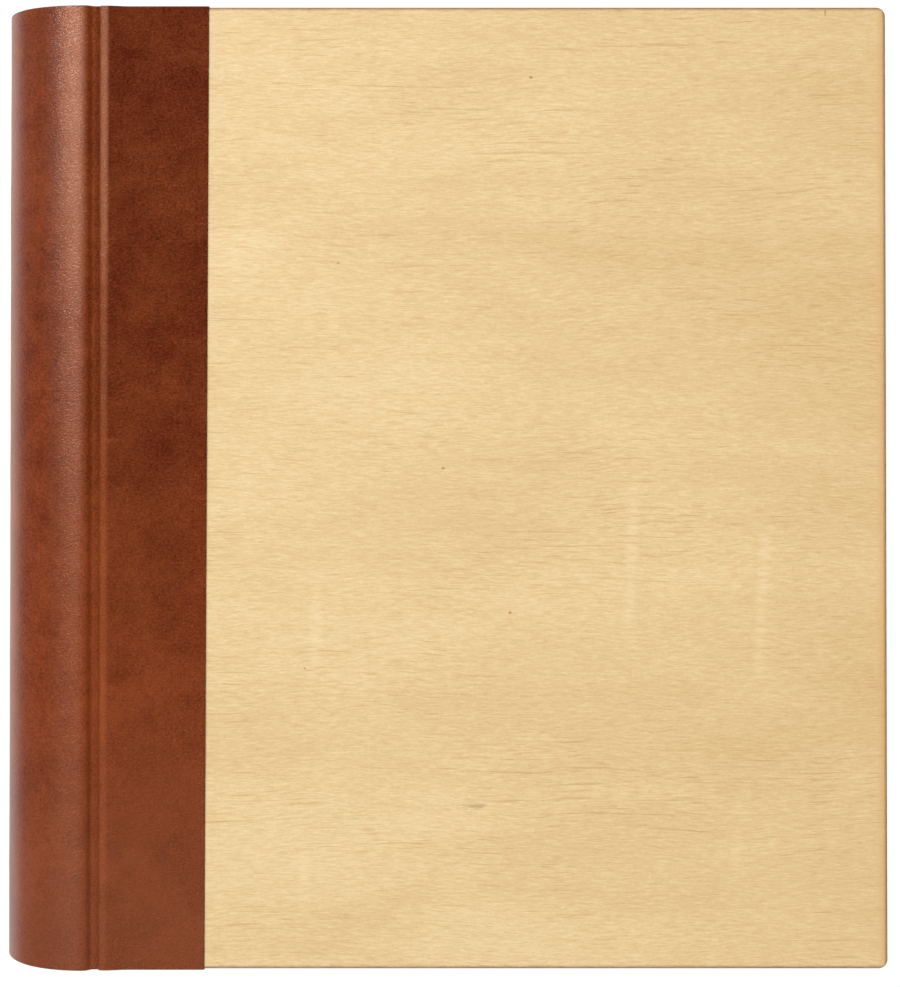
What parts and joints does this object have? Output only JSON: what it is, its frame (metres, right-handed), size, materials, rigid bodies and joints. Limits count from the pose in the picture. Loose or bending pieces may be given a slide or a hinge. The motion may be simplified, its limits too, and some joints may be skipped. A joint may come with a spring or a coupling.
{
  "type": "wedding guest book",
  "caption": "Thick quarter-leather guest book, closed and lying flat: round leather spine, joint grooves, plywood boards, sewn text block; both covers and the first leaves turn.",
  "frame": {"origin": "on the resting plane under the centre of the closed book's bounding box", "axes": "+X from the spine to the fore-edge, +Y from tail to head, +Z from the rear cover to the front cover"},
  "size_m": [0.297, 0.3216, 0.058],
  "materials": {
    "plywood": "matte",
    "saddle_leather": "satin",
    "spine_card": "matte",
    "guest_paper": "matte",
    "endpaper": "matte",
    "kraft_paper": "matte",
    "mull_gauze": "matte",
    "linen_tape": "matte",
    "linen_thread": "matte",
    "endband_silk": "satin"
  },
  "bodies": {
    "text_block": {"spine_leather": "saddle_leather", "spine_stiffener": "spine_card", "front_endpaper_fold": "endpaper", "rear_endpaper_fold": "endpaper", "section_01_folds": "guest_paper", "section_02": "guest_paper", "section_03": "guest_paper", "section_04": "guest_paper", "section_05": "guest_paper", "section_06": "guest_paper", "section_07": "guest_paper", "section_08": "guest_paper", "section_09": "guest_paper", "section_10": "guest_paper", "sewing_tapes": "linen_tape", "sewing_thread": "linen_thread", "spine_mull": "mull_gauze", "spine_lining": "kraft_paper", "headband": "endband_silk", "tailband": "endband_silk"},
    "front_cover": {"front_board": "plywood", "front_leather": "saddle_leather", "front_mull_wing": "mull_gauze", "front_pastedown": "endpaper"},
    "rear_cover": {"rear_board": "plywood", "rear_leather": "saddle_leather", "rear_mull_wing": "mull_gauze", "rear_pastedown": "endpaper"},
    "front_flyleaf": {"front_flyleaf": "endpaper"},
    "rear_flyleaf": {"rear_flyleaf": "endpaper"},
    "leaf_1": {"leaf_1": "guest_paper"},
    "leaf_2": {"leaf_2": "guest_paper"},
    "leaf_3": {"leaf_3": "guest_paper"},
    "leaf_4": {"leaf_4": "guest_paper"},
    "leaf_5": {"leaf_5": "guest_paper"},
    "leaf_6": {"leaf_6": "guest_paper"},
    "leaf_7": {"leaf_7": "guest_paper"},
    "leaf_8": {"leaf_8": "guest_paper"}
  },
  "joints": [
    {"name": "front_cover_hinge", "type": "hinge", "parent": "text_block", "child": "front_cover", "pos_m": [-0.1165, 0, 0.0582], "axis": [0, -1, 0], "range_deg": [0, 179]},
    {"name": "rear_cover_hinge", "type": "hinge", "parent": "text_block", "child": "rear_cover", "pos_m": [-0.1165, 0, -0.0002], "axis": [0, 1, 0], "range_deg": [0, 179]},
    {"name": "front_flyleaf_turn", "type": "hinge", "parent": "text_block", "child": "front_flyleaf", "pos_m": [-0.1165, 0, 0.0582], "axis": [0, -1, 0], "range_deg": [0, 179.2]},
    {"name": "leaf_1_turn", "type": "hinge", "parent": "text_block", "child": "leaf_1", "pos_m": [-0.1165, 0, 0.0582], "axis": [0, -1, 0], "range_deg": [0, 177.4]},
    {"name": "leaf_2_turn", "type": "hinge", "parent": "text_block", "child": "leaf_2", "pos_m": [-0.1165, 0, 0.0582], "axis": [0, -1, 0], "range_deg": [0, 175.6]},
    {"name": "leaf_3_turn", "type": "hinge", "parent": "text_block", "child": "leaf_3", "pos_m": [-0.1165, 0, 0.0582], "axis": [0, -1, 0], "range_deg": [0, 173.8]},
    {"name": "leaf_4_turn", "type": "hinge", "parent": "text_block", "child": "leaf_4", "pos_m": [-0.1165, 0, 0.0582], "axis": [0, -1, 0], "range_deg": [0, 172]},
    {"name": "leaf_5_turn", "type": "hinge", "parent": "text_block", "child": "leaf_5", "pos_m": [-0.1165, 0, 0.0582], "axis": [0, -1, 0], "range_deg": [0, 170.2]},
    {"name": "leaf_6_turn", "type": "hinge", "parent": "text_block", "child": "leaf_6", "pos_m": [-0.1165, 0, 0.0582], "axis": [0, -1, 0], "range_deg": [0, 168.4]},
    {"name": "leaf_7_turn", "type": "hinge", "parent": "text_block", "child": "leaf_7", "pos_m": [-0.1165, 0, 0.0582], "axis": [0, -1, 0], "range_deg": [0, 100]},
    {"name": "leaf_8_turn", "type": "hinge", "parent": "text_block", "child": "leaf_8", "pos_m": [-0.1165, 0, 0.0582], "axis": [0, -1, 0], "range_deg": [0, 37]},
    {"name": "rear_flyleaf_turn", "type": "hinge", "parent": "text_block", "child": "rear_flyleaf", "pos_m": [-0.1165, 0, -0.0002], "axis": [0, 1, 0], "range_deg": [0, 176]}
  ],
  "couplings": [
    {"joint": "front_flyleaf_turn", "follows": "front_cover_hinge", "ratio": 0.99},
    {"joint": "leaf_1_turn", "follows": "front_cover_hinge", "ratio": 0.98},
    {"joint": "leaf_2_turn", "follows": "front_cover_hinge", "ratio": 0.97},
    {"joint": "leaf_3_turn", "follows": "front_cover_hinge", "ratio": 0.96},
    {"joint": "leaf_4_turn", "follows": "front_cover_hinge", "ratio": 0.95},
    {"joint": "leaf_5_turn", "follows": "front_cover_hinge", "ratio": 0.94},
    {"joint": "leaf_6_turn", "follows": "front_cover_hinge", "ratio": 0.93},
    {"joint": "leaf_7_turn", "follows": "front_cover_hinge", "ratio": 0.55},
    {"joint": "leaf_8_turn", "follows": "front_cover_hinge", "ratio": 0.2},
    {"joint": "rear_flyleaf_turn", "follows": "rear_cover_hinge", "ratio": 0.97}
  ]
}
